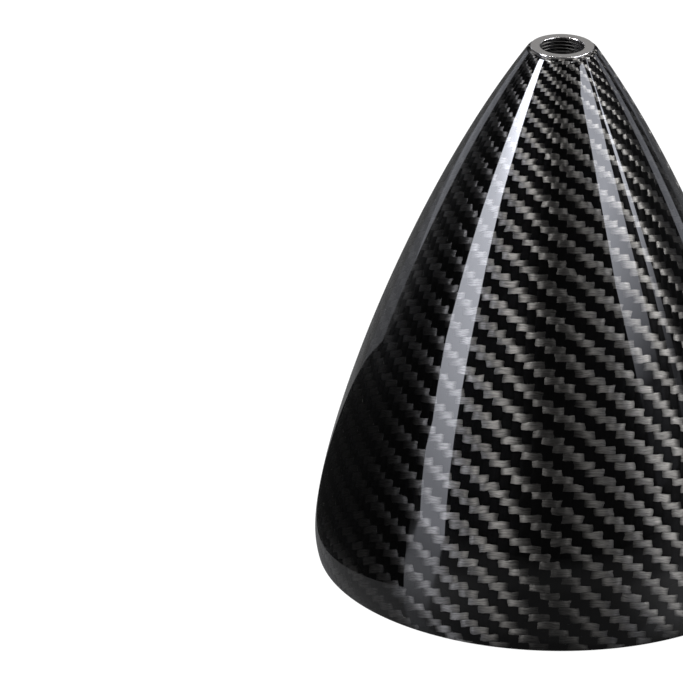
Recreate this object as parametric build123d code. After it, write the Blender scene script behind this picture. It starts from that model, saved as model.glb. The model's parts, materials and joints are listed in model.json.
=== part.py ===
from build123d import *
import os
from math import cos, radians, sin, sqrt

# A propeller spinner: a moulded carbon cone with a turned metal nose, pulled down by one
# long screw onto a machined backplate. Millimetres, +Z up the cone, origin on its axis at
# the plane of the cone's open edge.

# Outside of the cone
cone_radius = 63.5            # greatest outside radius, half of 5 inches
overall_height = 146.0        # open edge to the metal face at the nose
skirt_height = 6.5            # height of the greatest radius
skirt_roll_radius = 22.5      # the skirt curves in again below it
lower_pull = 23.0             # length of the flank curve's handle at the skirt
upper_pull = 54.4             # and at the nose
nose_lean = 34.7              # degrees that the flank leans in at the nose
nose_land = 1.6               # flat top of the laminate round the metal nose
nose_edge_rounding = 0.6
base_edge_rounding = 0.6
wall = 1.5                    # thickness of the laminate

# Fits and gaps
bond_gap = 0.1                # glue line
slip_gap = 0.05               # beside a turned fit, on the radius
thread_gap = 0.04             # beside a thread, on the radius
skirt_gap = 0.3               # backplate to the inside of the skirt
corner_break = 0.4            # plain broken corner on turned pieces

# Ring bonded in the skirt, and the backplate it sits on
plate_recess = 1.0            # rear face of the plate above the open edge
plate_flange_thickness = 4.0
rim_ring_height = 6.0
rim_ring_width = 4.2          # from the plate's edge in to its bore
register_height = 3.0         # plate's shoulder that centres the ring
register_width = 5.0
web_thickness = 2.8
boss_height = 8.0
boss_margin = 4.25            # metal outside the propeller bolts
pocket_corner_radius = 1.8
lightening_hole_radius = 6.0
lightening_hole_count = 6
prop_bolt_circle_radius = 18.0
prop_bolt_hole_radius = 2.75  # clearance for M5
prop_bolt_count = 6
drive_pin_radius = 1.5
drive_pin_depth = 3.0         # in the plate
drive_pin_stand = 4.0         # above the plate, in the ring
drive_pin_gap = 0.1
drive_pin_count = 2

# Post in the middle of the backplate
journal_radius = 8.0          # the propeller's centre hole slides over it
journal_height = 36.0
post_flange_overhang = 5.6    # beyond the journal
post_flange_thickness = 3.0
post_radius = 7.0
post_height = 83.0            # above the plate's rear face
spanner_flat_depth = 1.0
spanner_flat_height = 9.0
spanner_flat_drop = 3.5       # below the post's top
pilot_bore_radius = 6.0
pilot_bore_depth = 20.0
reducer_wall = 0.95           # leaves a 10 mm bore for the shaft
insert_wall = 1.5
insert_length = 12.0
insert_setback = 0.3
post_screw_count = 4
post_screw_radius = 1.5       # M3, countersunk
post_screw_head_overhang = 1.2
post_screw_length = 8.0
post_screw_key = 2.0          # across the flats of its socket
post_screw_key_depth = 1.2

# Metal nose
ring_stand = 0.7              # its flange above the laminate
nose_wall = 1.0               # metal behind the thread's relief
nose_barrel_length = 19.0     # below the laminate's top
nose_flange_overhang = 0.9    # beyond the barrel
nose_flange_rounding = 0.45
mouth_step = 0.16             # screw's bore out to the crests of the half-inch fine thread
mouth_chamfer = 0.42
mouth_thread_length = 4.0
relief_depth = 0.64           # turned out behind the thread
relief_length = 1.4
seat_thickness = 4.2          # metal below the washer
collar_drop = 2.2             # collar's top below the laminate's top
collar_height = 8.0
nose_nut_width = 4.0          # around the barrel
nose_nut_height = 4.0
nose_nut_slot_width = 3.0
nose_nut_slot_depth = 1.8
nose_nut_slot_count = 4

# The long screw and what sits on it
screw_radius = 3.0            # M6
screw_tip_stand = 1.6         # past the thread insert
screw_head_radius = 5.0
screw_head_height = 6.0
screw_key = 5.0               # across the flats of its socket
screw_key_depth = 3.2
screw_core_gap = 0.4          # hollow of the post beside the screw
screw_hole_gap = 0.3          # nose's hole beside the screw
washer_overhang = 0.4         # beyond the screw's head
washer_thickness = 1.6
washer_gap = 0.2              # washer's hole beside the screw
washer_side_gap = 0.3         # washer in the nose
o_ring_section_radius = 0.72
o_ring_gap = 0.03             # O-ring beside the screw
o_ring_groove_gap = 0.08
keeper_width = 3.0
keeper_thickness = 1.2


def skirt_radius(depth, height):
    """Radius of the skirt's curve at a height, this far inside the outside."""
    drop = skirt_height - height
    return cone_radius - skirt_roll_radius + sqrt((skirt_roll_radius - depth) ** 2 - drop ** 2)


# Radii of the nose, from the screw's head outwards
washer_radius = screw_head_radius + washer_overhang
head_bore_radius = washer_radius + washer_side_gap
mouth_radius = head_bore_radius + mouth_step
relief_radius = mouth_radius + relief_depth
nose_barrel_radius = relief_radius + nose_wall
nose_flange_radius = nose_barrel_radius + nose_flange_overhang
nose_top_radius = nose_barrel_radius + bond_gap + nose_land

# Levels and radii of the rest
laminate_top = overall_height - ring_stand
laminate_rounding_limit = 0.45 * wall
seat_level = plate_recess + plate_flange_thickness
ring_top = seat_level + rim_ring_height
plate_radius = skirt_radius(wall, 0) - skirt_gap
rim_ring_bore_radius = plate_radius - rim_ring_width
register_radius = rim_ring_bore_radius - slip_gap
drive_pin_circle_radius = (rim_ring_bore_radius + plate_radius) / 2
boss_radius = prop_bolt_circle_radius + prop_bolt_hole_radius + boss_margin

flange_top = plate_recess + post_flange_thickness
post_flange_radius = journal_radius + post_flange_overhang
post_screw_circle_radius = journal_radius + post_flange_overhang / 2
post_screw_head_radius = post_screw_radius + post_screw_head_overhang
shaft_bore_radius = pilot_bore_radius - slip_gap - reducer_wall
post_top = plate_recess + post_height
insert_top = post_top - insert_setback
insert_bottom = insert_top - insert_length
insert_radius = screw_radius + insert_wall
pilot_top = plate_recess + pilot_bore_depth

nose_bottom = laminate_top - nose_barrel_length
nose_flange_rounding_limit = 0.8 * ring_stand
washer_seat = nose_bottom + seat_thickness
o_ring_level = nose_bottom + seat_thickness / 2
collar_top = laminate_top - collar_drop
collar_bottom = collar_top - collar_height
screw_shoulder = washer_seat + washer_thickness
screw_tip = insert_bottom - screw_tip_stand


def turned(*outline):
    """A solid turned about Z from a closed outline of (radius, height) points."""
    return revolve(Plane.XZ * make_face(Polyline(*outline, close=True)), Axis.Z)


def disc(radius, bottom, top):
    return Pos(0, 0, bottom) * extrude(Circle(radius), top - bottom)


def hexagon(across_flats, bottom, top):
    outline = RegularPolygon(across_flats / 2, 6, major_radius=False)
    return Pos(0, 0, bottom) * extrude(outline, top - bottom)


def around(count, radius, shape):
    """Copies of a shape spaced evenly on a circle about Z."""
    return [Rot(0, 0, 360 * turn / count) * Pos(radius, 0, 0) * shape for turn in range(count)]


def circles_at(shape, level):
    """Circular edges at a height, smallest first."""
    circles = shape.edges().filter_by(GeomType.CIRCLE)
    return circles.filter_by_position(Axis.Z, level - 0.01, level + 0.01).sort_by(SortBy.RADIUS)


def cone_core(depth):
    """All that lies within the surface this far inside the cone's outside."""
    lean = radians(nose_lean)
    foot = Vector(cone_radius, skirt_height)
    tip = Vector(nose_top_radius, laminate_top)
    up_flank = Vector(-sin(lean), cos(lean))
    middle = tip - up_flank * upper_pull - foot - Vector(0, lower_pull)

    # A parallel curve keeps the ends' directions, and each handle shrinks with the
    # curvature at its end
    foot_bend = 2 / 3 * abs(middle.X) / lower_pull ** 2
    tip_bend = 2 / 3 * abs(up_flank.X * middle.Y - up_flank.Y * middle.X) / upper_pull ** 2
    inner_foot = foot - Vector(depth, 0)
    inner_tip = tip - Vector(cos(lean), sin(lean)) * depth
    flank = Bezier(
        inner_foot,
        inner_foot + Vector(0, lower_pull * (1 - depth * foot_bend)),
        inner_tip - up_flank * upper_pull * (1 - depth * tip_bend),
        inner_tip,
    )
    edge = Vector(skirt_radius(depth, 0), 0)
    skirt = TangentArc(inner_foot, edge, tangent=(0, -1))
    rest = Polyline(edge, (0, 0), (0, inner_tip.Y), inner_tip)
    return revolve(Plane.XZ * make_face(skirt + flank + rest), Axis.Z)


def make_cone_shell():
    shell = cone_core(0) - cone_core(wall)
    shell -= disc(nose_barrel_radius + bond_gap, 0, overall_height)
    shell = fillet(circles_at(shell, laminate_top)[-1], min(nose_edge_rounding, laminate_rounding_limit))
    return fillet(circles_at(shell, 0)[-1], min(base_edge_rounding, laminate_rounding_limit))


def make_rim_ring():
    ring = cone_core(wall + bond_gap) & disc(cone_radius, seat_level, ring_top)
    ring -= disc(rim_ring_bore_radius, 0, ring_top)
    ring = chamfer(circles_at(ring, seat_level)[0], corner_break)
    pin_hole_top = seat_level + drive_pin_stand + drive_pin_gap
    pin_hole = disc(drive_pin_radius + drive_pin_gap, seat_level, pin_hole_top)
    for hole in around(drive_pin_count, drive_pin_circle_radius, pin_hole):
        ring -= hole
    return ring


def make_backplate():
    register_top = seat_level + register_height
    boss_top = plate_recess + boss_height
    web_top = plate_recess + web_thickness
    pocket_radius = register_radius - register_width
    plate = turned(
        (0, plate_recess),
        (plate_radius - corner_break, plate_recess),
        (plate_radius, plate_recess + corner_break),
        (plate_radius, seat_level - corner_break),
        (plate_radius - corner_break, seat_level),
        (register_radius, seat_level),
        (register_radius, register_top - corner_break),
        (register_radius - corner_break, register_top),
        (pocket_radius, register_top),
        (pocket_radius, web_top),
        (boss_radius, web_top),
        (boss_radius, boss_top - corner_break),
        (boss_radius - corner_break, boss_top),
        (0, boss_top),
    )
    plate = fillet(circles_at(plate, web_top), pocket_corner_radius)

    # The post's flange is let into the rear face
    plate -= disc(post_flange_radius + slip_gap, 0, flange_top)
    plate -= disc(journal_radius + slip_gap, 0, boss_top)
    tapped_hole = disc(post_screw_radius + thread_gap, 0, boss_top)
    for hole in around(post_screw_count, post_screw_circle_radius, tapped_hole):
        plate -= hole

    prop_hole = disc(prop_bolt_hole_radius, 0, boss_top)
    for hole in around(prop_bolt_count, prop_bolt_circle_radius, prop_hole):
        plate -= hole
    web_hole = disc(lightening_hole_radius, 0, web_top)
    half_step = Rot(0, 0, 180 / lightening_hole_count)
    for hole in around(lightening_hole_count, (boss_radius + pocket_radius) / 2, web_hole):
        plate -= half_step * hole
    pin_hole = disc(drive_pin_radius, seat_level - drive_pin_depth, seat_level)
    for hole in around(drive_pin_count, drive_pin_circle_radius, pin_hole):
        plate -= hole
    return plate


def make_drive_pins():
    bottom = seat_level - drive_pin_depth
    top = seat_level + drive_pin_stand
    pin = turned(
        (0, bottom),
        (drive_pin_radius, bottom),
        (drive_pin_radius, top - corner_break),
        (drive_pin_radius - corner_break, top),
        (0, top),
    )
    return Compound(around(drive_pin_count, drive_pin_circle_radius, pin))


def post_screw_hole():
    """Countersunk hole through the post's flange."""
    head_radius = post_screw_head_radius + slip_gap
    shank_radius = post_screw_radius + slip_gap
    return turned(
        (0, plate_recess),
        (head_radius, plate_recess),
        (shank_radius, plate_recess + head_radius - shank_radius),
        (shank_radius, flange_top),
        (0, flange_top),
    )


def make_centre_post():
    journal_top = plate_recess + journal_height
    core_radius = screw_radius + screw_core_gap
    post = turned(
        (pilot_bore_radius + corner_break, plate_recess),
        (post_flange_radius, plate_recess),
        (post_flange_radius, flange_top),
        (journal_radius, flange_top),
        (journal_radius, journal_top),
        (post_radius, journal_top + journal_radius - post_radius),
        (post_radius, post_top - corner_break),
        (post_radius - corner_break, post_top),
        (insert_radius + corner_break, post_top),
        (insert_radius, post_top - corner_break),
        (insert_radius, insert_bottom),
        (core_radius, insert_bottom),
        (core_radius, pilot_top),
        (pilot_bore_radius, pilot_top),
        (pilot_bore_radius, plate_recess + corner_break),
    )

    # Two flats near the top for a spanner
    cheek = Box(2 * post_radius, 2 * spanner_flat_depth, spanner_flat_height)
    cheek_level = post_top - spanner_flat_drop - spanner_flat_height / 2
    for side in (-1, 1):
        post -= Pos(0, side * post_radius, cheek_level) * cheek

    for hole in around(post_screw_count, post_screw_circle_radius, post_screw_hole()):
        post -= hole
    return post


def make_post_screws():
    tip = plate_recess + post_screw_length
    screw = turned(
        (0, plate_recess),
        (post_screw_head_radius, plate_recess),
        (post_screw_radius, plate_recess + post_screw_head_overhang),
        (post_screw_radius, tip - corner_break),
        (post_screw_radius - corner_break, tip),
        (0, tip),
    )
    screw -= hexagon(post_screw_key, plate_recess, plate_recess + post_screw_key_depth)
    return Compound(around(post_screw_count, post_screw_circle_radius, screw))


def make_pilot_reducer():
    """Sleeve that takes the post's bore down to the shaft's size."""
    outside = pilot_bore_radius - slip_gap
    return turned(
        (shaft_bore_radius + corner_break, plate_recess),
        (outside, plate_recess),
        (outside, pilot_top),
        (shaft_bore_radius, pilot_top),
        (shaft_bore_radius, plate_recess + corner_break),
    )


def make_thread_insert():
    bore = screw_radius + thread_gap
    outside = insert_radius - thread_gap
    return turned(
        (bore, insert_bottom),
        (outside, insert_bottom),
        (outside, insert_top),
        (bore + corner_break, insert_top),
        (bore, insert_top - corner_break),
    )


def make_nose_bush():
    thread_end = overall_height - mouth_thread_length
    relief_end = thread_end - relief_length
    screw_hole_radius = screw_radius + screw_hole_gap
    groove_radius = screw_radius + o_ring_gap + 2 * o_ring_section_radius + o_ring_groove_gap
    groove_half = o_ring_section_radius + o_ring_groove_gap
    bush = turned(
        (screw_hole_radius, nose_bottom),
        (nose_barrel_radius - corner_break, nose_bottom),
        (nose_barrel_radius, nose_bottom + corner_break),
        (nose_barrel_radius, laminate_top),
        (nose_flange_radius, laminate_top),
        (nose_flange_radius, overall_height),
        (mouth_radius + mouth_chamfer, overall_height),
        (mouth_radius, overall_height - mouth_chamfer),
        (mouth_radius, thread_end),
        (relief_radius, thread_end),
        (relief_radius, relief_end),
        (head_bore_radius, relief_end),
        (head_bore_radius, washer_seat),
        (screw_hole_radius, washer_seat),
        (screw_hole_radius, o_ring_level + groove_half),
        (groove_radius, o_ring_level + groove_half),
        (groove_radius, o_ring_level - groove_half),
        (screw_hole_radius, o_ring_level - groove_half),
    )
    face_edge = circles_at(bush, overall_height)[-1]
    return fillet(face_edge, min(nose_flange_rounding, nose_flange_rounding_limit))


def make_nose_collar():
    """Cone that backs the laminate behind the nose's flange."""
    collar = cone_core(wall + bond_gap) & disc(cone_radius, collar_bottom, collar_top)
    return collar - disc(nose_barrel_radius + slip_gap, 0, overall_height)


def make_nose_nut():
    top = collar_bottom
    bottom = top - nose_nut_height
    bore = nose_barrel_radius + thread_gap
    outside = nose_barrel_radius + nose_nut_width
    nut = turned(
        (bore, bottom + corner_break),
        (bore + corner_break, bottom),
        (outside - corner_break, bottom),
        (outside, bottom + corner_break),
        (outside, top),
        (bore, top),
    )
    slot = Pos(0, 0, (bottom + top) / 2) * Box(2 * nose_nut_slot_depth, nose_nut_slot_width, nose_nut_height)
    for cut in around(nose_nut_slot_count, outside, slot):
        nut -= cut
    return nut


def make_centre_screw():
    head_top = screw_shoulder + screw_head_height
    screw = turned(
        (0, screw_tip),
        (screw_radius - corner_break, screw_tip),
        (screw_radius, screw_tip + corner_break),
        (screw_radius, screw_shoulder),
        (screw_head_radius, screw_shoulder),
        (screw_head_radius, head_top - corner_break),
        (screw_head_radius - corner_break, head_top),
        (0, head_top),
    )
    return screw - hexagon(screw_key, head_top - screw_key_depth, head_top)


def make_seat_washer():
    hole = disc(screw_radius + washer_gap, washer_seat, screw_shoulder)
    return disc(washer_radius, washer_seat, screw_shoulder) - hole


def make_screw_o_ring():
    middle_radius = screw_radius + o_ring_gap + o_ring_section_radius
    return Pos(0, 0, o_ring_level) * Torus(middle_radius, o_ring_section_radius)


def make_screw_keeper():
    """Soft washer that grips the screw below the nose, so that it stays with the cone."""
    bottom = nose_bottom - keeper_thickness
    hole = disc(screw_radius + o_ring_gap, bottom, nose_bottom)
    return disc(screw_radius + keeper_width, bottom, nose_bottom) - hole


pieces = {
    "cone_shell": make_cone_shell(),
    "rim_ring": make_rim_ring(),
    "backplate": make_backplate(),
    "drive_pins": make_drive_pins(),
    "centre_post": make_centre_post(),
    "post_screws": make_post_screws(),
    "pilot_reducer": make_pilot_reducer(),
    "thread_insert": make_thread_insert(),
    "nose_bush": make_nose_bush(),
    "nose_collar": make_nose_collar(),
    "nose_nut": make_nose_nut(),
    "centre_screw": make_centre_screw(),
    "seat_washer": make_seat_washer(),
    "screw_o_ring": make_screw_o_ring(),
    "screw_keeper": make_screw_keeper(),
}

os.makedirs("parts", exist_ok=True)
for node, piece in pieces.items():
    export_step(piece, f"parts/{node}.step")
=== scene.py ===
import bpy
import json
import math
import numpy as np
from mathutils import Matrix, Vector


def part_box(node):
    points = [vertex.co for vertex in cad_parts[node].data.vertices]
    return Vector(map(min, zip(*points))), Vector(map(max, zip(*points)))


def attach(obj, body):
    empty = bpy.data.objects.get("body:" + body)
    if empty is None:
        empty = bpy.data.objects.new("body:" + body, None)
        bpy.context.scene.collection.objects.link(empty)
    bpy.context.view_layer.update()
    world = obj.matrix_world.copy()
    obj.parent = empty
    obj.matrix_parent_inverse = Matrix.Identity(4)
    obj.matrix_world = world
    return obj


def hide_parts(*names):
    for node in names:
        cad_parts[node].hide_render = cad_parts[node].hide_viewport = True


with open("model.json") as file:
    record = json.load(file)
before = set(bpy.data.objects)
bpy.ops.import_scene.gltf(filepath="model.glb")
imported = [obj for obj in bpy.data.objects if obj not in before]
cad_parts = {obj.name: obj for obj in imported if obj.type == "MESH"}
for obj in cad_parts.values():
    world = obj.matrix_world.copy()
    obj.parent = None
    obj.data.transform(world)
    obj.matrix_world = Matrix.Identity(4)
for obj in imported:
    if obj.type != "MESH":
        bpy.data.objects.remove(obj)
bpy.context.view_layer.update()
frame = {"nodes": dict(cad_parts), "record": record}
scene = bpy.context.scene
scene.view_settings.view_transform = "Standard"
print("frame loaded:", len(frame["nodes"]), "nodes")

millimetre = 0.001
number, vector = "NodeSocketFloat", "NodeSocketVector"
noiseSpan = (0.3, 0.7)           # values that a noise mostly stays between
softSpan = (0.35, 0.65)          # the same for a softer noise
sharpAngle = 28.0                # degrees between two faces, past which their edge is sharp


# Small helpers for nodes and meshes

def feed(tree, socket, value):
    # a socket is linked, anything else is set as a plain value
    if isinstance(value, bpy.types.NodeSocket):
        tree.links.new(value, socket)
    else:
        socket.default_value = value


def addNode(tree, kind, feeds=None, **settings):
    node = tree.nodes.new(kind)
    for name, value in settings.items():
        setattr(node, name, value)
    for name, value in (feeds or {}).items():
        feed(tree, node.inputs[name], value)
    return node


def calc(tree, operation, *values):
    node = tree.nodes.new("ShaderNodeMath")
    node.operation = operation
    for socket, value in zip(node.inputs, values):
        feed(tree, socket, value)
    return node.outputs[0]


def stretch(tree, value, fromLow, fromHigh, toLow=0.0, toHigh=1.0, smooth=False):
    node = addNode(tree, "ShaderNodeMapRange", interpolation_type="SMOOTHSTEP" if smooth else "LINEAR")
    for name, entry in (("Value", value), ("From Min", fromLow), ("From Max", fromHigh),
                        ("To Min", toLow), ("To Max", toHigh)):
        feed(tree, node.inputs[name], entry)
    return node.outputs["Result"]


def blendNumbers(tree, share, low, high):
    node = addNode(tree, "ShaderNodeMix", data_type="FLOAT")
    for socket, value in zip((node.inputs[0], node.inputs[2], node.inputs[3]), (share, low, high)):
        feed(tree, socket, value)
    return node.outputs[0]


def blendColours(tree, share, low, high, how="MIX"):
    node = addNode(tree, "ShaderNodeMix", data_type="RGBA", blend_type=how)
    for socket, value in zip((node.inputs[0], node.inputs[6], node.inputs[7]), (share, low, high)):
        feed(tree, socket, value)
    return node.outputs[2]


def multiplyColours(tree, first, second):
    return blendColours(tree, 1.0, first, second, "MULTIPLY")


def grey(tree, tone):
    return addNode(tree, "ShaderNodeCombineColor", {"Red": tone, "Green": tone, "Blue": tone}).outputs[0]


def vary(tree, value, amount):
    # round 1, by half the amount to each side, as the value goes from 0 to 1
    return calc(tree, "MULTIPLY_ADD", value, amount, 1 - amount / 2)


def split(tree, place):
    return addNode(tree, "ShaderNodeSeparateXYZ", {"Vector": place}).outputs


def newGroup(name, inputs, outputs):
    # inputs and outputs give each socket's kind by its name
    group = bpy.data.node_groups.new(name, "ShaderNodeTree")
    for label, kind in inputs.items():
        group.interface.new_socket(label, in_out="INPUT", socket_type=kind)
    for label, kind in outputs.items():
        group.interface.new_socket(label, in_out="OUTPUT", socket_type=kind)
    return group, group.nodes.new("NodeGroupInput").outputs, group.nodes.new("NodeGroupOutput").inputs


def useGroup(tree, group, feeds):
    node = tree.nodes.new("ShaderNodeGroup")
    node.node_tree = group
    for name, value in feeds.items():
        feed(tree, node.inputs[name], value)
    return node.outputs


def newMaterial(name):
    material = bpy.data.materials.new(name)
    material.use_nodes = True
    return material, material.node_tree, material.node_tree.nodes["Principled BSDF"].inputs


def bump(tree, height, distance):
    # height times distance is the relief in metres
    return addNode(tree, "ShaderNodeBump", {"Height": height, "Distance": distance}).outputs["Normal"]


def addPiece(name, points, faces):
    mesh = bpy.data.meshes.new(name)
    mesh.from_pydata(points, [], faces)
    piece = bpy.data.objects.new(name, mesh)
    scene.collection.objects.link(piece)
    return piece


def turnedMesh(name, points, aroundSteps, radiusShift=None):
    # A closed (radius, height) outline carried around Z: at azimuth a the point (r, z) lies at
    # (r sin a, -r cos a, z). Azimuth 0 faces the camera. The outline runs so that its left is inside.
    count = len(points)
    azimuth = np.arange(aroundSteps) * 2 * np.pi / aroundSteps
    radius = np.repeat(points[:, :1], aroundSteps, axis=1)
    if radiusShift is not None:
        radius = radiusShift(radius, points[:, 1:2], azimuth[None, :])
    height = np.repeat(points[:, 1:2], aroundSteps, axis=1)
    places = np.stack([radius * np.sin(azimuth), -radius * np.cos(azimuth), height], axis=-1)
    row = np.arange(count)[:, None]
    column = np.arange(aroundSteps)[None, :]
    nextRow = (row + 1) % count
    nextColumn = (column + 1) % aroundSteps
    corners = [row * aroundSteps + column, row * aroundSteps + nextColumn,
               nextRow * aroundSteps + nextColumn, nextRow * aroundSteps + column]
    faces = np.stack(corners, axis=-1).reshape(-1, 4)
    piece = addPiece(name, places.reshape(-1, 3), faces)
    piece.data.shade_smooth()
    piece.data.set_sharp_from_angle(angle=math.radians(sharpAngle))
    return piece


def line(start, end, steps):
    # points from start up to, but without, end
    share = np.arange(steps)[:, None] / steps
    return np.array(start) + (np.array(end) - np.array(start)) * share


def arc(centre, radius, fromAngle, toAngle, steps):
    # points on a circle in the (radius, height) plane, angles in degrees from the outward direction
    angle = np.radians(np.linspace(fromAngle, toAngle, steps))
    return np.array(centre) + radius * np.stack([np.cos(angle), np.sin(angle)], axis=1)


# Twill cloth under lacquer

clothShape = {
    "repeat": 4.0,               # tows after which the weave repeats
    "weftCrest": 1.0,            # middle of a float, counted from the repeat's start
    "warpCrest": 2.0,
    "pathPower": 2.2,
    "deepest": 3.0,              # crimps that a tow dives at most
    "sectionPower": 3.0,
    "diveSpan": (0.5, 1.1),      # tows from a float's middle over which painted shade darkens it
    "sideSpan": (0.0, 0.5),      # part of its section's rise over which the painted shade on its sides fades
    # tone of the painted shade along a tow's sides
    "sideShade": 0.5,
    "overlap": 0.006,            # height over which one tow takes over from the other
    "driftScale": 0.42,
    "streakScale": 0.7,          # along a fibre, where Fibres is the scale across
}


def towTop(tree, given, along, crest, across):
    # Height and painted shade of a tow. Its path is crimp * (1 - t^2.2) with t in tows from its float's
    # middle, and its section adds bulge * (1 - s^3) with s from 0 in its middle to 1 at its sides.
    shape = clothShape
    half = shape["repeat"] / 2
    away = calc(tree, "ABSOLUTE", calc(tree, "WRAP", calc(tree, "SUBTRACT", along, crest), -half, half))
    dive = calc(tree, "MINIMUM", calc(tree, "POWER", away, shape["pathPower"]), shape["deepest"])
    path = calc(tree, "MULTIPLY", calc(tree, "SUBTRACT", 1.0, dive), given["Crimp"])
    side = calc(tree, "ABSOLUTE", calc(tree, "MULTIPLY_ADD", across, 2.0, -1.0))
    section = calc(tree, "SUBTRACT", 1.0, calc(tree, "POWER", side, shape["sectionPower"]))
    # painted shade: darker where the tow dives under its neighbour and along its two sides
    ends = stretch(tree, away, *shape["diveSpan"], 1.0, given["End Shade"], smooth=True)
    sides = stretch(tree, section, *shape["sideSpan"], shape["sideShade"], 1.0)
    return calc(tree, "MULTIPLY_ADD", section, given["Bulge"], path), calc(tree, "MULTIPLY", ends, sides)


def streaks(tree, u, v, uScale, vScale):
    scaled = addNode(tree, "ShaderNodeCombineXYZ", {
        "X": calc(tree, "MULTIPLY", u, uScale), "Y": calc(tree, "MULTIPLY", v, vScale)}).outputs[0]
    feeds = {"Vector": scaled, "Scale": 1.0, "Detail": 3.0, "Roughness": 0.7}
    noise = addNode(tree, "ShaderNodeTexNoise", feeds, noise_dimensions="2D").outputs[0]
    return stretch(tree, noise, *noiseSpan)


def buildTwillGroup():
    # A 2/2 twill on a grid counted in tows: u along the weft tows, v across them. Each row's float
    # starts one column further along, and the tow that stands higher shows. A slow noise shifts the
    # grid, as hand-laid cloth does.
    inputs = {"Tow Grid": vector, "Crimp": number, "Bulge": number, "Weft Sink": number,
              "Fibres": number, "Drift": number, "End Shade": number}
    outputs = {"Weft": number, "Height": number, "Fibre": number, "Tow Tone": number, "Shade": number}
    tree, given, out = newGroup("twillCloth", inputs, outputs)
    shape = clothShape
    driftFeeds = {"Vector": given["Tow Grid"], "Scale": shape["driftScale"], "Detail": 2.0, "Roughness": 0.6}
    noise = addNode(tree, "ShaderNodeTexNoise", driftFeeds, noise_dimensions="2D").outputs["Color"]
    centring = {0: noise, 1: (0.5, 0.5, 0.5)}
    centred = addNode(tree, "ShaderNodeVectorMath", centring, operation="SUBTRACT").outputs[0]
    scaling = {0: centred, "Scale": given["Drift"]}
    drift = addNode(tree, "ShaderNodeVectorMath", scaling, operation="SCALE").outputs[0]
    shifting = {0: given["Tow Grid"], 1: drift}
    place = split(tree, addNode(tree, "ShaderNodeVectorMath", shifting, operation="ADD").outputs[0])
    u, v = place["X"], place["Y"]
    row, column = calc(tree, "FLOOR", v), calc(tree, "FLOOR", u)
    acrossWeft, acrossWarp = calc(tree, "SUBTRACT", v, row), calc(tree, "SUBTRACT", u, column)
    alongWeft = calc(tree, "FLOORED_MODULO", calc(tree, "SUBTRACT", u, row), shape["repeat"])
    alongWarp = calc(tree, "FLOORED_MODULO", calc(tree, "SUBTRACT", column, v), shape["repeat"])
    weftTop, weftShade = towTop(tree, given, alongWeft, shape["weftCrest"], acrossWeft)
    warpTop, warpShade = towTop(tree, given, alongWarp, shape["warpCrest"], acrossWarp)
    weftTop = calc(tree, "SUBTRACT", weftTop, given["Weft Sink"])
    lead = calc(tree, "SUBTRACT", weftTop, warpTop)
    weft = stretch(tree, lead, -shape["overlap"], shape["overlap"], smooth=True)
    fine, long = given["Fibres"], shape["streakScale"]
    fibre = blendNumbers(tree, weft, streaks(tree, u, v, fine, long), streaks(tree, u, v, long, fine))
    floatIndex = calc(tree, "FLOOR", calc(tree, "DIVIDE", calc(tree, "SUBTRACT", u, row), shape["repeat"]))
    cell = addNode(tree, "ShaderNodeCombineXYZ", {"X": floatIndex, "Y": row}).outputs[0]
    tone = addNode(tree, "ShaderNodeTexWhiteNoise", {"Vector": cell}, noise_dimensions="2D").outputs["Value"]
    feed(tree, out["Weft"], weft)
    feed(tree, out["Height"], calc(tree, "MAXIMUM", weftTop, warpTop))
    feed(tree, out["Fibre"], fibre)
    feed(tree, out["Tow Tone"], tone)
    # Shade is painted shade, where tows dive and along their sides
    feed(tree, out["Shade"], blendNumbers(tree, weft, warpShade, weftShade))
    return tree


carbonLook = {
    "weftColour": (0.125, 0.121, 0.116, 1),
    # painted shade: the warps are the same fibre as the wefts, and this near black stands in for the light
    # that their crosswise fibres send away from the camera
    "warpShadeColour": (0.0016, 0.0016, 0.0018, 1),
    "metallic": 1.0,             # how much of a fibre's light is mirror-like
    "weftRoughness": 0.50,
    "warpRoughness": 0.53,
    "anisotropy": 1.0,           # fibres spread light across themselves
    "spreadTurn": 0.25,          # turns from the weft's direction to that of the spread
    "crimp": 0.19,               # mm that a tow rides up and down
    "bulge": 0.05,               # mm of rounding across a tow
    "weftSink": 0.02,            # mm that wefts lie lower, which shortens their floats
    "endShade": 0.35,            # tone of the painted shade where a tow dives
    "fibres": 7.5,               # streaks across a tow
    "drift": 0.62,               # tows that the cloth wanders
    "towVariation": 0.5,
    "fibreVariation": 0.9,
    "coatRoughness": 0.012,
    "coatIor": 1.8,
    "insideCoat": 0.1,           # there is hardly any lacquer on the inside
    "insideRoughness": 0.62,
}


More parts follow.
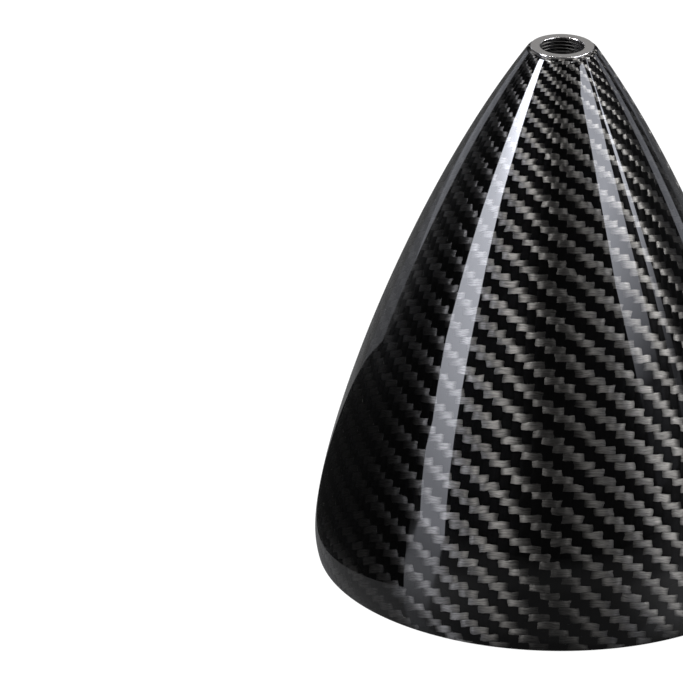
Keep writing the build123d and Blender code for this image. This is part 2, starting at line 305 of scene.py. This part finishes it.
def carbonMaterial(twill):
    look = carbonLook
    material, tree, shader = newMaterial("carbonTwill")
    grid = addNode(tree, "ShaderNodeUVMap", uv_map="towGrid").outputs["UV"]
    cloth = useGroup(tree, twill, {"Tow Grid": grid, "Crimp": look["crimp"], "Bulge": look["bulge"],
                                   "Weft Sink": look["weftSink"], "Fibres": look["fibres"],
                                   "Drift": look["drift"], "End Shade": look["endShade"]})
    inside = addNode(tree, "ShaderNodeAttribute", attribute_name="innerFace").outputs["Fac"]
    # wefts get the fibre's own colour, warps the painted shade
    colour = blendColours(tree, cloth["Weft"], look["warpShadeColour"], look["weftColour"])
    towTone = vary(tree, cloth["Tow Tone"], look["towVariation"])
    fibreTone = vary(tree, cloth["Fibre"], look["fibreVariation"])
    # the cloth's Shade is painted shade, which darkens tows where they dive and along their sides
    tone = calc(tree, "MULTIPLY", calc(tree, "MULTIPLY", towTone, fibreTone), cloth["Shade"])
    feed(tree, shader["Base Color"], multiplyColours(tree, colour, grey(tree, tone)))
    shader["Metallic"].default_value = look["metallic"]
    outsideRoughness = blendNumbers(tree, cloth["Weft"], look["warpRoughness"], look["weftRoughness"])
    feed(tree, shader["Roughness"], blendNumbers(tree, inside, outsideRoughness, look["insideRoughness"]))
    shader["Anisotropic"].default_value = look["anisotropy"]
    shader["Anisotropic Rotation"].default_value = look["spreadTurn"]
    tangent = addNode(tree, "ShaderNodeTangent", direction_type="UV_MAP", uv_map="towGrid")
    feed(tree, shader["Tangent"], tangent.outputs["Tangent"])
    feed(tree, shader["Normal"], bump(tree, cloth["Height"], millimetre))
    feed(tree, shader["Coat Weight"], blendNumbers(tree, inside, 1.0, look["insideCoat"]))
    shader["Coat Roughness"].default_value = look["coatRoughness"]
    shader["Coat IOR"].default_value = look["coatIor"]
    return material


# Metals

turnedPatches = 120.0            # scale of the soft patches of tone on turned metal


def buildTurningGroup():
    # Marks left by a lathe tool: noise that depends only on the distance from Z and on the height.
    # The tone is half these marks and half larger soft patches.
    outputs = {"Height": number, "Tone": number, "Radius": number}
    tree, given, out = newGroup("turningMarks", {"Scale": number}, outputs)
    place = addNode(tree, "ShaderNodeTexCoord").outputs["Object"]
    axes = split(tree, place)
    squares = calc(tree, "ADD", calc(tree, "MULTIPLY", axes["X"], axes["X"]),
                   calc(tree, "MULTIPLY", axes["Y"], axes["Y"]))
    radius = calc(tree, "SQRT", squares)
    radial = addNode(tree, "ShaderNodeCombineXYZ", {"X": radius, "Y": axes["Z"]}).outputs[0]
    feeds = {"Vector": radial, "Scale": given["Scale"], "Detail": 3.0, "Roughness": 0.7}
    fine = addNode(tree, "ShaderNodeTexNoise", feeds, noise_dimensions="2D").outputs[0]
    patchFeeds = {"Vector": place, "Scale": turnedPatches, "Detail": 4.0, "Roughness": 0.55}
    patches = addNode(tree, "ShaderNodeTexNoise", patchFeeds).outputs[0]
    feed(tree, out["Height"], fine)
    feed(tree, out["Tone"], blendNumbers(tree, 0.5, fine, patches))
    feed(tree, out["Radius"], radius)
    return tree


metalLooks = {
    "polishedAluminium": {"colour": (0.80, 0.775, 0.76), "tone": 0.16, "rough": (0.12, 0.26),
                          "scale": 7000.0, "relief": 4e-7},
    "machinedAluminium": {"colour": (0.68, 0.69, 0.70), "tone": 0.22, "rough": (0.24, 0.42),
                          "scale": 5200.0, "relief": 4e-6},
    "plainSteel": {"colour": (0.60, 0.60, 0.60), "tone": 0.2, "rough": (0.2, 0.36),
                   "scale": 8000.0, "relief": 2e-6},
}


# The mouth's thread and the bore below it stay as cut, which makes them duller than the polished face, and
# carry painted shade of their recess, which makes them darker
boreCutAndShade = {
    "reach": (0.0063, 0.0067),   # radius where the cut bore ends
    "below": (0.1452, 0.1456),   # and height
    # painted shade of the bore's recess: the share of the metal's colour that is left
    "tone": 0.03,
    "roughness": 0.45,
}


def metalMaterial(name, turning):
    look = metalLooks[name]
    material, tree, shader = newMaterial(name)
    marks = useGroup(tree, turning, {"Scale": look["scale"]})
    tone = vary(tree, marks["Tone"], look["tone"])
    colour = multiplyColours(tree, (*look["colour"], 1), grey(tree, tone))
    roughness = stretch(tree, marks["Tone"], *noiseSpan, *look["rough"])
    if name == "polishedAluminium":
        level = split(tree, addNode(tree, "ShaderNodeTexCoord").outputs["Object"])["Z"]
        within = stretch(tree, marks["Radius"], *boreCutAndShade["reach"], 1.0, 0.0)
        cut = calc(tree, "MULTIPLY", within, stretch(tree, level, *boreCutAndShade["below"], 1.0, 0.0))
        # the bore's darkening is painted shade; its higher roughness is the real as-cut finish
        dark = (boreCutAndShade["tone"], boreCutAndShade["tone"], boreCutAndShade["tone"], 1)
        colour = blendColours(tree, cut, colour, multiplyColours(tree, colour, dark))
        roughness = blendNumbers(tree, cut, roughness, boreCutAndShade["roughness"])
    feed(tree, shader["Base Color"], colour)
    shader["Metallic"].default_value = 1.0
    feed(tree, shader["Roughness"], roughness)
    feed(tree, shader["Normal"], bump(tree, marks["Height"], look["relief"]))
    return material


# Blackened steel, rubber and plastic

softLooks = {
    "blackSteel": {"colour": (0.035, 0.035, 0.038), "worn": (0.09, 0.09, 0.095), "rough": (0.32, 0.5),
                   "metallic": 0.6, "scale": 900.0, "relief": 6e-6},
    "blackRubber": {"colour": (0.02, 0.02, 0.02), "worn": (0.032, 0.032, 0.033), "rough": (0.6, 0.8),
                    "metallic": 0.0, "scale": 1500.0, "relief": 1e-5},
    "whitePlastic": {"colour": (0.8, 0.79, 0.75), "worn": (0.74, 0.73, 0.69), "rough": (0.38, 0.52),
                     "metallic": 0.0, "scale": 1100.0, "relief": 8e-6},
}


grainPatches = 0.12              # scale of the soft patches of tone, as a share of the grain's


def buildGrainGroup():
    # Fine grain of a cast, moulded or blackened surface, with larger soft patches for its tone
    tree, given, out = newGroup("fineGrain", {"Scale": number}, {"Height": number, "Tone": number})
    place = addNode(tree, "ShaderNodeTexCoord").outputs["Object"]
    fineFeeds = {"Vector": place, "Scale": given["Scale"], "Detail": 5.0, "Roughness": 0.6}
    fine = addNode(tree, "ShaderNodeTexNoise", fineFeeds).outputs[0]
    broadScale = calc(tree, "MULTIPLY", given["Scale"], grainPatches)
    broadFeeds = {"Vector": place, "Scale": broadScale, "Detail": 3.0}
    broad = addNode(tree, "ShaderNodeTexNoise", broadFeeds).outputs[0]
    feed(tree, out["Height"], fine)
    feed(tree, out["Tone"], stretch(tree, broad, *softSpan, smooth=True))
    return tree


def softMaterial(name, grain):
    look = softLooks[name]
    material, tree, shader = newMaterial(name)
    marks = useGroup(tree, grain, {"Scale": look["scale"]})
    colour = blendColours(tree, marks["Tone"], (*look["colour"], 1), (*look["worn"], 1))
    feed(tree, shader["Base Color"], colour)
    shader["Metallic"].default_value = look["metallic"]
    feed(tree, shader["Roughness"], stretch(tree, marks["Tone"], 0.0, 1.0, *look["rough"]))
    feed(tree, shader["Normal"], bump(tree, marks["Height"], look["relief"]))
    return material


twillCloth = buildTwillGroup()
turningMarks = buildTurningGroup()
fineGrain = buildGrainGroup()
finishes = {
    "carbon_twill": carbonMaterial(twillCloth),
    "polished_aluminium": metalMaterial("polishedAluminium", turningMarks),
    "machined_aluminium": metalMaterial("machinedAluminium", turningMarks),
    "plain_steel": metalMaterial("plainSteel", turningMarks),
    "black_steel": softMaterial("blackSteel", fineGrain),
    "black_rubber": softMaterial("blackRubber", fineGrain),
    "white_plastic": softMaterial("whitePlastic", fineGrain),
}
print("materials made:", len(finishes))


def dress(piece, slot):
    piece.data.materials.clear()
    piece.data.materials.append(finishes[slot])


# The moulded cone

coneShell = {
    "skirtHeight": 0.0065,       # height of the greatest radius
    "rollRadius": 0.0225,        # curve of the skirt below it
    "lowerPull": 0.0230,         # handles of the flank's curve
    "upperPull": 0.0544,
    "noseLean": 34.7,            # degrees
    "topRadius": 0.0092,
    "wall": 0.0015,
    "edgeRounding": 0.0006,
    "boreRadius": 0.0076,
    "aroundSteps": 288,
    "flankSteps": 120,
    "skirtSteps": (12, 10),      # outside and inside
    "roundingSteps": 7,
    "searchSteps": 4000,         # for the place where the top's rounding touches the flank
}

towGrid = {
    "gores": 2,                  # pieces of cloth around the cone
    "opening": 0.40,             # turn in the flat cloth for each turn around the cone
    "topReach": 0.0092,          # radius at the cloth's top edge
    "startReach": 40.0,          # mm from the cone's flat apex where the pitches below hold
    "warpPitch": 1.54,           # mm
    "warpSpread": 0.93,          # mm more for each e-fold of the reach
    "weftPitch": 2.10,           # mm, far down
    "weftSqueeze": 0.82,         # mm less at startReach
    "weftEase": 36.0,            # mm over which the squeeze fades
}


def flankCurve(depth, steps, radius, top):
    # Cubic curve from the skirt to the nose, and curves parallel to it at a depth: each handle is
    # shortened by the depth times the curvature at its end
    size = coneShell
    lean = math.radians(size["noseLean"])
    up = np.array([-math.sin(lean), math.cos(lean)])
    foot = np.array([radius, size["skirtHeight"]])
    tip = np.array([size["topRadius"], top])
    middle = tip - up * size["upperPull"] - foot - np.array([0, size["lowerPull"]])
    footBend = 2 / 3 * abs(middle[0]) / size["lowerPull"] ** 2
    tipBend = 2 / 3 * abs(up[0] * middle[1] - up[1] * middle[0]) / size["upperPull"] ** 2
    start = foot - np.array([depth, 0])
    end = tip - np.array([math.cos(lean), math.sin(lean)]) * depth
    first = start + np.array([0, size["lowerPull"] * (1 - depth * footBend)])
    second = end - up * size["upperPull"] * (1 - depth * tipBend)
    share = np.linspace(0, 1, steps)[:, None]
    rest = 1 - share
    lower = rest ** 3 * start + 3 * rest ** 2 * share * first
    return lower + 3 * rest * share ** 2 * second + share ** 3 * end


def coneOutline(radius, top):
    # Closed outline of the wall: up the outside, over the nose, down the inside. Returns the points,
    # their distance down the cloth from its top edge, and 1 for each point past the lacquered outside.
    size = coneShell
    rounding, bore = size["edgeRounding"], size["boreRadius"]
    outerSteps, innerSteps = size["skirtSteps"]
    rollCentre = np.array([radius - size["rollRadius"], size["skirtHeight"]])

    def skirt(depth, fromHeight, steps):
        bend = size["rollRadius"] - depth
        low = math.degrees(math.asin((fromHeight - size["skirtHeight"]) / bend))
        return arc(rollCentre, bend, low, 0, steps)

    edgeCentre = skirt(rounding, rounding, 2)[0]
    edgeAngle = math.degrees(math.atan2(*(edgeCentre - rollCentre)[::-1]))
    bottomEdge = arc(edgeCentre, rounding, -90, edgeAngle, size["roundingSteps"])
    touch = rollCentre + (edgeCentre - rollCentre) * size["rollRadius"] / (size["rollRadius"] - rounding)
    outerSkirt = skirt(0, touch[1], outerSteps)[1:]
    inset = flankCurve(rounding, size["searchSteps"], radius, top)
    reach = int(np.argmin(abs(inset[:, 1] - (top - rounding))))
    topCentre = inset[reach]
    outerDense = flankCurve(0, size["searchSteps"], radius, top)
    topTouch = int(np.argmin(np.hypot(*(outerDense - topCentre).T)))
    outerFlank = outerDense[np.linspace(0, topTouch, size["flankSteps"]).astype(int)][1:]
    topAngle = math.degrees(math.atan2(*(outerDense[topTouch] - topCentre)[::-1]))
    topEdge = arc(topCentre, rounding, topAngle, 90, size["roundingSteps"])[1:]
    outside = np.concatenate([bottomEdge, outerSkirt, outerFlank, topEdge])
    innerFlank = flankCurve(size["wall"], size["flankSteps"], radius, top)[::-1]
    innerSkirt = skirt(size["wall"], 0, innerSteps)[::-1][1:]
    lip = np.concatenate([line(topEdge[-1], (bore, top), 4)[1:],
                          line((bore, top), (bore, innerFlank[0][1]), 3),
                          line((bore, innerFlank[0][1]), innerFlank[0], 2)])
    inside = np.concatenate([innerFlank, innerSkirt])
    sole = line(inside[-1], bottomEdge[0], 3)[1:]
    points = np.concatenate([outside, lip, inside, sole])

    def runDown(part):
        steps = np.hypot(*np.diff(part, axis=0).T)
        return np.concatenate([[0], np.cumsum(steps)])

    outerRun = runDown(outside[::-1])[::-1]
    innerRun = runDown(inside)
    runs = np.concatenate([outerRun, np.zeros(len(lip)), innerRun, np.full(len(sole), outerRun[0])])
    inner = np.zeros(len(points))
    inner[len(outside) - len(topEdge):] = 1
    return points, runs, inner


def clothCoordinates(run, azimuth):
    # The cone's cloth laid flat: a point at this distance down it and at this azimuth from its
    # middle lies at reach times (sine, cosine) of the opened angle. Across, tows are counted by the
    # warp pitch at that reach, which grows with its logarithm. Down, they are the integral of one
    # over the weft pitch, which eases up to its full value: ease / full * ln(full e^(y / ease) - squeeze).
    grid = towGrid
    reach = (run + grid["topReach"] / grid["opening"]) / millimetre
    turn = azimuth * grid["opening"]
    across, down = reach * np.sin(turn), reach * np.cos(turn)
    warpPitch = grid["warpPitch"] + grid["warpSpread"] * np.log(down / grid["startReach"])
    eased = grid["weftPitch"] * np.exp((down - grid["startReach"]) / grid["weftEase"]) - grid["weftSqueeze"]
    weftCount = grid["weftEase"] / grid["weftPitch"] * np.log(eased)
    return across / warpPitch, weftCount


def makeCone():
    # each gore's flat coordinates are counted from its own middle
    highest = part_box("cone_shell")[1]
    points, runs, inner = coneOutline(highest.x, highest.z)
    steps = coneShell["aroundSteps"]
    piece = turnedMesh("coneLaminate", points, steps)
    rows = len(points)
    row, column = np.divmod(np.arange(rows * steps), steps)
    cornerRow = np.stack([row, row, row + 1, row + 1], axis=1) % rows
    cornerStep = np.stack([column, column + 1, column + 1, column], axis=1)
    stepTurn, goreTurn = 2 * np.pi / steps, 2 * np.pi / towGrid["gores"]
    middle = np.round((column + 0.5) * stepTurn / goreTurn) * goreTurn
    azimuth = cornerStep * stepTurn - middle[:, None]
    u, v = clothCoordinates(runs[cornerRow], azimuth)
    layer = piece.data.uv_layers.new(name="towGrid")
    layer.data.foreach_set("uv", np.stack([u, v], axis=-1).astype(np.float32).ravel())
    attribute = piece.data.attributes.new("innerFace", "FLOAT", "POINT")
    attribute.data.foreach_set("value", np.repeat(inner, steps).astype(np.float32))
    dress(piece, "carbon_twill")
    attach(piece, "root")
    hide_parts("cone_shell")


makeCone()
print("cone made")


# The turned nose, with the real thread in its mouth

noseBush = {
    "barrelRadius": 0.0075,
    "cornerRounding": 0.00006,
    "chamferLean": 30.0,         # degrees that the chamfers of flange and mouth face upwards
    "flangeChamfer": 0.00015,    # their lengths
    "mouthChamfer": 0.00016,
    "ringStand": 0.0007,
    "mouthRadius": 0.00586,      # crests of the thread
    "threadLength": 0.0040,
    "threadPitch": 0.000907,     # 28 to the inch
    "threadDepth": 0.00047,
    "reliefRadius": 0.0065,
    "reliefLength": 0.0014,
    "headBoreRadius": 0.0057,
    "seatThickness": 0.0042,
    "screwHoleRadius": 0.0033,
    "grooveRadius": 0.00455,
    "grooveHalf": 0.0008,
    "cornerBreak": 0.0004,
    "aroundSteps": 160,
    "threadRows": 110,
    "threadFoot": 0.00002,       # step between the thread's last row and the relief
    "closeness": 0.000001,       # within which a point counts as on the bore
}


def threadCut(radius, height, azimuth, start, end):
    # A helical groove from the bore outwards: depth * (1 - cos(turns)) / 2, where the turns are
    # height / pitch less the azimuth. It runs out over one pitch below the mouth's chamfer.
    size = noseBush
    turns = 2 * np.pi * height / size["threadPitch"] - azimuth
    runOut = np.clip((start - height) / size["threadPitch"], 0, 1)
    groove = size["threadDepth"] * runOut * (1 - np.cos(turns)) / 2
    onBore = abs(radius - size["mouthRadius"]) < size["closeness"]
    inThread = onBore & (height > end + size["closeness"])
    return np.where(inThread, size["mouthRadius"] + groove, radius)


def makeNose():
    size = noseBush
    lowest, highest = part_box("nose_bush")
    bottom, top, flange = lowest.z, highest.z, highest.x
    shoulder = top - size["ringStand"]
    crest, relief = size["mouthRadius"], size["reliefRadius"]
    threadEnd = top - size["threadLength"]
    reliefEnd = threadEnd - size["reliefLength"]
    seat = bottom + size["seatThickness"]
    hole, groove, half = size["screwHoleRadius"], size["grooveRadius"], size["grooveHalf"]
    mid = bottom + size["seatThickness"] / 2
    barrel, nick, edge = size["barrelRadius"], size["cornerBreak"], size["cornerRounding"]
    lean = math.radians(size["chamferLean"])
    run = np.array([math.sin(lean), math.cos(lean)])
    # centres of the small roundings above and below each chamfer
    flangeLow = np.array([flange - edge, top - edge - size["flangeChamfer"] * run[1]])
    flangeHigh = flangeLow + size["flangeChamfer"] * run * (-1, 1)
    mouthLow = np.array([crest + edge, top - edge - size["mouthChamfer"] * run[1]])
    mouthHigh = mouthLow + size["mouthChamfer"] * run
    threadStart = mouthLow[1]
    thread = np.full((size["threadRows"], 2), crest)
    thread[:, 1] = np.linspace(threadStart, threadEnd + size["threadFoot"], size["threadRows"])
    outline = [
        line((hole, bottom), (barrel - nick, bottom), 3),
        line((barrel - nick, bottom), (barrel, bottom + nick), 2),
        line((barrel, bottom + nick), (barrel, shoulder), 12),
        line((barrel, shoulder), (flange, shoulder), 3),
        line((flange, shoulder), (flange, flangeLow[1]), 2),
        arc(flangeLow, edge, 0, size["chamferLean"], 4),
        arc(flangeHigh, edge, size["chamferLean"], 90, 7),
        line((flangeHigh[0], top), (mouthHigh[0], top), 6)[1:],
        arc(mouthHigh, edge, 90, 180 - size["chamferLean"], 7),
        arc(mouthLow, edge, 180 - size["chamferLean"], 180, 4)[:-1],
        thread,
        line((relief, threadEnd), (relief, reliefEnd), 3),
        line((relief, reliefEnd), (size["headBoreRadius"], reliefEnd), 2),
        line((size["headBoreRadius"], reliefEnd), (size["headBoreRadius"], seat), 8),
        line((size["headBoreRadius"], seat), (hole, seat), 4),
        line((hole, seat), (hole, mid + half), 3),
        line((hole, mid + half), (groove, mid + half), 2),
        line((groove, mid + half), (groove, mid - half), 2),
        line((groove, mid - half), (hole, mid - half), 2),
        line((hole, mid - half), (hole, bottom), 2),
    ]

    def cut(radius, height, azimuth):
        return threadCut(radius, height, azimuth, threadStart, threadEnd)

    piece = turnedMesh("noseFitting", np.concatenate(outline), size["aroundSteps"], cut)
    dress(piece, "polished_aluminium")
    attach(piece, "root")
    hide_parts("nose_bush")


makeNose()
print("nose made")

replacedNodes = ("cone_shell", "nose_bush")
slotOf = {entry["node"]: entry["material_slot"] for entry in frame["record"]["subparts"]}
for node, piece in frame["nodes"].items():
    if node not in replacedNodes:
        piece.data.materials.clear()
        piece.data.materials.append(finishes[slotOf[node]])
print("turned pieces dressed")


# Studio: a white floor, lamps above and around the part, and a camera at the photo's angle

studio = {
    "floorHalf": 6.0,
    "floorLevel": -0.00005,
    "tableColour": (0.018, 0.085),  # what the part sees close by, in front and at its sides
    "farColour": 0.03,           # and beyond the table's edge
    "tableReach": (0.17, 0.26),
    "tableTurn": (0.3, 0.8),     # share of a place's distance that is sideways, from front to side
    "floorRoughness": 0.15,
    "floorIor": 1.12,
    "whitening": 1.0,            # light added for the camera, which makes the floor white
    "toneShare": 0.5,            # of the floor's own tone that is taken off it again
    "frontShare": 0.019,         # of the white backdrop, as glossy surfaces see it
    "backShare": 0.295,
    "backTurn": (0.79, 0.85),    # from the one to the other, as the ray turns rearwards
    "belowShare": 0.55,          # what the underside sees through the floor's hole
    "belowTurn": (-0.3, -0.1),
    "floorHole": 0.056,
    "floorSides": 96,
    "fill": 0.5,
    "middleHeight": 0.07,        # what the softboxes face
}

# Softboxes above the part. No place on the cone faces up steeply enough for the lacquer to mirror
# them towards the camera, but the cloth shows them, because its fibres spread light across
# themselves. Directions are in degrees.
softboxes = {
    "topLight": {"azimuth": 0, "elevation": 66, "distance": 1.4, "size": (0.9, 0.7), "strength": 0.3},
    "leftTopLight": {"azimuth": -57, "elevation": 61, "distance": 1.2, "size": (0.2, 0.5), "strength": 44},
    "middleTopLight": {"azimuth": 46, "elevation": 62, "distance": 1.2, "size": (0.24, 0.5), "strength": 11},
    "rightTopLight": {"azimuth": 110, "elevation": 50, "distance": 1.2, "size": (0.16, 0.4), "strength": 62},
    "edgeLight": {"azimuth": 106, "elevation": 39, "distance": 1.2, "size": (0.12, 0.22), "strength": 115},
}

# A black card on the left, which keeps that side dark
blackCard = {
    "side": -0.0675,
    # (depth, height) of its corners, from the front foot over the top to the rear foot
    "corners": ((-0.059, 0.003), (-0.053, 0.06), (-0.030, 0.115), (-0.010, 0.10), (0.004, 0.064),
                (0.016, 0.052), (0.024, 0.040), (0.040, 0.003)),
    "strength": 0.012,
}

# Each lamp is a strip around the part, given by rows of height in metres and the azimuths in degrees
# of its two edges. Azimuth 0 is the camera's side, and the part's left is negative. Between its two
# levels its strength goes from the first to the second, and a crown is a gain between two levels more.
lampCards = {
    "leftStrip": {"rows": ((0.0, -66, -51.5), (0.2, -74.5, -55.5), (0.4, -79, -59), (0.55, -81.5, -63),
                           (0.95, -84, -67.5), (1.3, -87, -72)),
                  "reach": 1.0, "levels": (0.08, 0.68), "strengths": (1.7, 8.4), "smooth": False,
                  "crown": (0.5, 0.85, 2.35)},
    "rightStrip": {"rows": ((0.1, 55, 68.5), (0.3, 51.5, 67.5), (0.45, 47, 67), (0.62, 46, 68.5),
                            (0.75, 46.5, 75), (0.92, 46.3, 73.5)),
                   "reach": 1.0, "levels": (0.25, 0.6), "strengths": (0.07, 4.3), "smooth": False},
    "sideStrip": {"rows": ((0.1, 76.5, 81.5), (0.5, 77, 81.5), (0.64, 78.5, 82), (0.75, 88, 90.5),
                           (0.88, 102, 104), (0.97, 110, 111)),
                  "reach": 1.0, "levels": (0.2, 0.64), "strengths": (0.2, 6.6), "smooth": True},
    "leftCard": {"rows": ((0.0, -147, -131), (1.6, -147, -131)),
                 "reach": 1.2, "levels": (0.0, 1.0), "strengths": (0.62, 0.62), "smooth": False},
    "rightCard": {"rows": ((0.0, 122, 133), (1.6, 122, 133)),
                  "reach": 1.2, "levels": (0.0, 1.0), "strengths": (0.70, 0.70), "smooth": False},
    "backCard": {"rows": ((0.0, 144, 172), (1.6, 144, 172)),
                 "reach": 1.25, "levels": (0.0, 1.0), "strengths": (0.31, 0.31), "smooth": False},
}
lampColour = (0.88, 0.905, 1.0)


def emitter(name, strength, colour=(1.0, 1.0, 1.0)):
    # a material that only shines; strength is a function of its tree
    material = bpy.data.materials.new(name)
    material.use_nodes = True
    tree = material.node_tree
    tree.nodes.remove(tree.nodes["Principled BSDF"])
    light = addNode(tree, "ShaderNodeEmission", {"Color": (*colour, 1), "Strength": strength(tree)})
    feed(tree, tree.nodes["Material Output"].inputs["Surface"], light.outputs[0])
    return material


def makeLampCard(name, card):
    # left and right edge points of each row, joined by one face between two rows
    rows = np.array(card["rows"])
    turn = np.radians(rows[:, 1:])
    height = np.repeat(rows[:, :1], 2, axis=1)
    corners = np.stack([card["reach"] * np.sin(turn), -card["reach"] * np.cos(turn), height], axis=-1)
    lower = 2 * np.arange(len(rows) - 1)[:, None]
    lamp = addPiece(name, corners.reshape(-1, 3), lower + np.array([[0, 1, 3, 2]]))

    def strength(tree):
        height = split(tree, addNode(tree, "ShaderNodeTexCoord").outputs["Object"])["Z"]
        base = stretch(tree, height, *card["levels"], *card["strengths"], smooth=card["smooth"])
        if "crown" not in card:
            return base
        low, high, gain = card["crown"]
        return calc(tree, "MULTIPLY", base, stretch(tree, height, low, high, 1.0, gain))

    lamp.data.materials.append(emitter(name, strength, lampColour))
    lamp.visible_camera = False
    lamp.visible_shadow = False


def makeFloor():
    # a wide ring: it is open under the part, where only the part's underside sees it
    sides = studio["floorSides"]
    turn, reach = np.meshgrid(np.arange(sides) * 2 * np.pi / sides,
                              (studio["floorHole"], studio["floorHalf"]), indexing="ij")
    level = np.full(turn.shape, studio["floorLevel"])
    points = np.stack([reach * np.cos(turn), reach * np.sin(turn), level], axis=-1).reshape(-1, 3)
    faces = (2 * np.arange(sides)[:, None] + np.array([[0, 1, 3, 2]])) % (2 * sides)
    floor = addPiece("floor", points, faces)
    material, tree, shader = newMaterial("paleFloor")
    place = addNode(tree, "ShaderNodeTexCoord").outputs["Object"]
    distance = addNode(tree, "ShaderNodeVectorMath", {0: place}, operation="LENGTH").outputs["Value"]
    far = stretch(tree, distance, *studio["tableReach"], smooth=True)
    sideways = calc(tree, "DIVIDE", calc(tree, "ABSOLUTE", split(tree, place)["X"]), distance)
    near = stretch(tree, sideways, *studio["tableTurn"], *studio["tableColour"], smooth=True)
    tone = blendNumbers(tree, far, near, studio["farColour"])
    feed(tree, shader["Base Color"], grey(tree, tone))
    shader["Roughness"].default_value = studio["floorRoughness"]
    shader["IOR"].default_value = studio["floorIor"]
    # the camera sees it white, with the shadow kept, and glossy surfaces see a share of that
    seen = addNode(tree, "ShaderNodeLightPath").outputs
    mirrored = calc(tree, "ADD", seen["Is Glossy Ray"], seen["Is Transmission Ray"])
    share = calc(tree, "MULTIPLY_ADD", mirrored, studio["frontShare"], seen["Is Camera Ray"])
    shader["Emission Color"].default_value = (1, 1, 1, 1)
    nearLift = calc(tree, "MULTIPLY_ADD", tone, -studio["toneShare"], studio["whitening"])
    lift = blendNumbers(tree, far, nearLift, 1.0)
    feed(tree, shader["Emission Strength"], calc(tree, "MULTIPLY", share, lift))
    # from below the floor is clear, so that the part's underside can be seen
    surface = addNode(tree, "ShaderNodeMixShader", {
        "Fac": addNode(tree, "ShaderNodeNewGeometry").outputs["Backfacing"],
        1: tree.nodes["Principled BSDF"].outputs["BSDF"],
        2: tree.nodes.new("ShaderNodeBsdfTransparent").outputs["BSDF"]})
    feed(tree, tree.nodes["Material Output"].inputs["Surface"], surface.outputs[0])
    floor.data.materials.append(material)


def makeWorld():
    # White backdrop for the camera. Glossy and transmission rays see a share of it, dim towards the
    # camera's side and brighter behind the part. Diffuse rays get an even fill.
    world = bpy.data.worlds.new("studioAir")
    scene.world = world
    world.use_nodes = True
    tree = world.node_tree
    tree.nodes.clear()
    seen = addNode(tree, "ShaderNodeLightPath").outputs
    direction = addNode(tree, "ShaderNodeTexCoord").outputs["Generated"]
    axes = split(tree, direction)
    shares = (studio["frontShare"], studio["backShare"])
    around = stretch(tree, axes["Y"], *studio["backTurn"], *shares, smooth=True)
    below = stretch(tree, axes["Z"], *studio["belowTurn"], studio["belowShare"], 0.0, smooth=True)
    share = calc(tree, "ADD", around, below)
    mirrored = calc(tree, "ADD", seen["Is Glossy Ray"], seen["Is Transmission Ray"])
    white = calc(tree, "MULTIPLY_ADD", mirrored, share, seen["Is Camera Ray"])
    strength = calc(tree, "MULTIPLY_ADD", seen["Is Diffuse Ray"], studio["fill"], white)
    air = addNode(tree, "ShaderNodeBackground", {"Color": (1, 1, 1, 1), "Strength": strength})
    out = tree.nodes.new("ShaderNodeOutputWorld")
    feed(tree, out.inputs["Surface"], air.outputs[0])


# Place and direction of the photo's camera in metres and degrees, fitted to the outline
photoCamera = {
    "back": 1.9601,
    "height": 0.9319,
    "yaw": 1.6650,
    "pitch": 23.9783,
    "roll": -0.6485,
    "lens": 424.5,               # mm
    "sensor": 36.0,
    "farthest": 50.0,            # m that it sees
}


def makeCamera():
    view = photoCamera
    yaw, pitch, roll = (math.radians(view[key]) for key in ("yaw", "pitch", "roll"))
    right = Vector((math.cos(yaw), math.sin(yaw), 0))
    ahead = Vector((-math.sin(yaw) * math.cos(pitch), math.cos(yaw) * math.cos(pitch), -math.sin(pitch)))
    up = Vector((-math.sin(yaw) * math.sin(pitch), math.cos(yaw) * math.sin(pitch), math.cos(pitch)))
    rolledRight = math.cos(roll) * right - math.sin(roll) * up
    rolledUp = math.sin(roll) * right + math.cos(roll) * up
    lens = bpy.data.cameras.new("photoCamera")
    lens.lens = view["lens"]
    lens.sensor_width = view["sensor"]
    lens.sensor_fit = "HORIZONTAL"
    lens.clip_end = view["farthest"]
    camera = bpy.data.objects.new("photoCamera", lens)
    scene.collection.objects.link(camera)
    turn = Matrix((rolledRight, rolledUp, -ahead)).transposed().to_4x4()
    camera.matrix_world = Matrix.Translation((0, -view["back"], view["height"])) @ turn
    scene.camera = camera


def makeSoftbox(name, box):
    # a rectangle at its distance in its direction, which faces the part's middle
    turn, rise = math.radians(box["azimuth"]), math.radians(box["elevation"])
    away = Vector((math.sin(turn) * math.cos(rise), -math.cos(turn) * math.cos(rise), math.sin(rise)))
    across = Vector((math.cos(turn), math.sin(turn), 0))
    along = away.cross(across)
    wide, tall = box["size"]
    middle = Vector((0, 0, studio["middleHeight"])) + away * box["distance"]
    sides = ((-wide / 2, -tall / 2), (wide / 2, -tall / 2), (wide / 2, tall / 2), (-wide / 2, tall / 2))
    corners = [middle + across * x + along * y for x, y in sides]
    lamp = addPiece(name, corners, [(0, 1, 2, 3)])
    lamp.data.materials.append(emitter(name, lambda tree: box["strength"]))
    lamp.visible_camera = False
    lamp.visible_shadow = False


def makeBlackCard():
    corners = [(blackCard["side"], depth, height) for depth, height in blackCard["corners"]]
    flag = addPiece("blackCard", corners, [tuple(range(len(corners)))])
    flag.data.materials.append(emitter("blackCard", lambda tree: blackCard["strength"]))
    flag.visible_camera = False
    flag.visible_shadow = False
    flag.visible_diffuse = False


for name, card in lampCards.items():
    makeLampCard(name, card)
for name, box in softboxes.items():
    makeSoftbox(name, box)
makeBlackCard()
makeFloor()
makeWorld()
makeCamera()
print("studio made")
